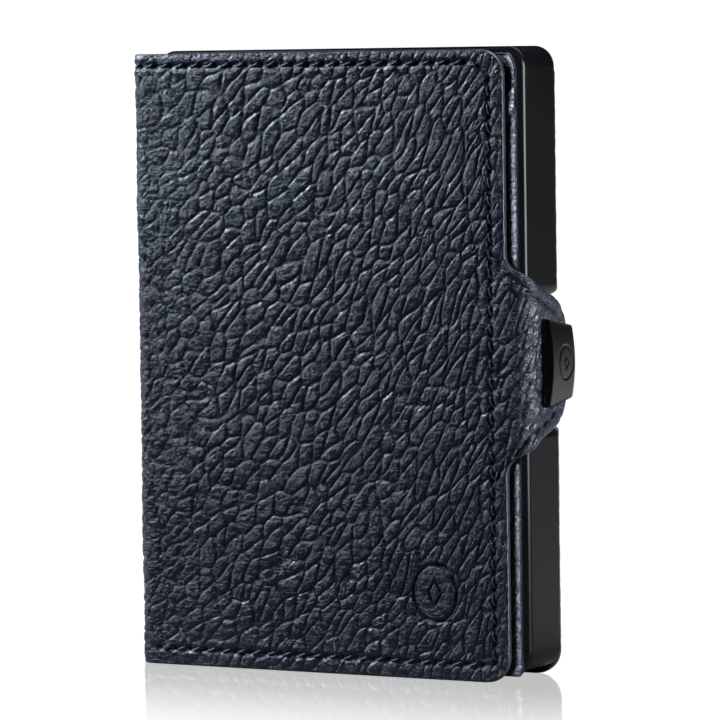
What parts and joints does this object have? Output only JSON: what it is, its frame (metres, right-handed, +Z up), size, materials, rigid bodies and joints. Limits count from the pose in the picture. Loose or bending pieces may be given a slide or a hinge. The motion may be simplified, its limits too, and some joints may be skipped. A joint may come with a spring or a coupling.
{
  "type": "card holder",
  "caption": "Upright hard card case with a sprung stepped ejector, wrapped in a folding leather cover that closes with a magnetic metal-tipped tab.",
  "frame": {"origin": "centre of the footprint, on the surface the holder stands on", "axes": "+X across the width from the leather spine to the closure tab, +Y from the front cover to the back, +Z up"},
  "size_m": [0.0764, 0.0154, 0.1015],
  "materials": {
    "case_shell": "black anodised, satin",
    "inner_plastic": "moulded, matt",
    "steel": "brushed",
    "blackened_steel": "blackened",
    "magnet": "nickel plated",
    "felt": "short pile",
    "leather": "tumbled pebble grain, semi-gloss",
    "lining_leather": "smooth lining leather",
    "mesh_lining": "dotted textile",
    "board": "bonded leather board",
    "adhesive": "adhesive film",
    "clasp_metal": "satin black coating",
    "grip": "matt"
  },
  "bodies": {
    "case": {"case_body": "case_shell", "case_back_plate": "inner_plastic", "back_plate_screws": "blackened_steel", "side_dowel_pins": "case_shell", "card_guide_left": "inner_plastic", "card_guide_right": "inner_plastic", "felt_pad_front": "felt", "felt_pad_back": "felt", "lever_pivot_pin": "steel", "lever_spring": "steel", "catch_plate": "blackened_steel", "catch_screws": "blackened_steel", "catch_magnets": "magnet", "pocket_front": "leather", "pocket_mesh_lining": "mesh_lining", "pocket_backing": "board", "pocket_adhesive": "adhesive", "back_adhesive": "adhesive", "back_panel_lining": "lining_leather", "back_panel_leather": "leather"},
    "ejector_lever": {"ejector_lever": "inner_plastic", "lever_grip_pad": "grip"},
    "spine": {"spine_leather": "leather", "spine_lining": "lining_leather"},
    "front_cover": {"front_panel_leather": "leather", "front_panel_board": "board", "front_panel_lining": "lining_leather"},
    "tab": {"tab_leather": "leather", "tab_lining": "lining_leather", "clasp_cap": "clasp_metal", "clasp_base": "clasp_metal", "clasp_magnets": "magnet", "clasp_rivets": "steel"}
  },
  "joints": [
    {"name": "spine_fold", "type": "hinge", "parent": "case", "child": "spine", "pos_m": [-0.03737, 0.00687, 0.0505], "axis": [0, 0, -1], "range_deg": [0, 90]},
    {"name": "cover_fold", "type": "hinge", "parent": "spine", "child": "front_cover", "pos_m": [-0.03737, -0.00687, 0.0505], "axis": [0, 0, -1], "range_deg": [0, 90]},
    {"name": "tab_fold", "type": "hinge", "parent": "front_cover", "child": "tab", "pos_m": [0.03522, -0.00673, 0.051], "axis": [0, 0, -1], "range_deg": [0, 100]},
    {"name": "ejector_pivot", "type": "hinge", "parent": "case", "child": "ejector_lever", "pos_m": [-0.02665, 0.0012, 0.009], "axis": [0, -1, 0], "range_deg": [0, 28], "stiffness_Nm_per_rad": 0.02, "springref_deg": -17.19, "deforming": ["lever_spring"]}
  ]
}
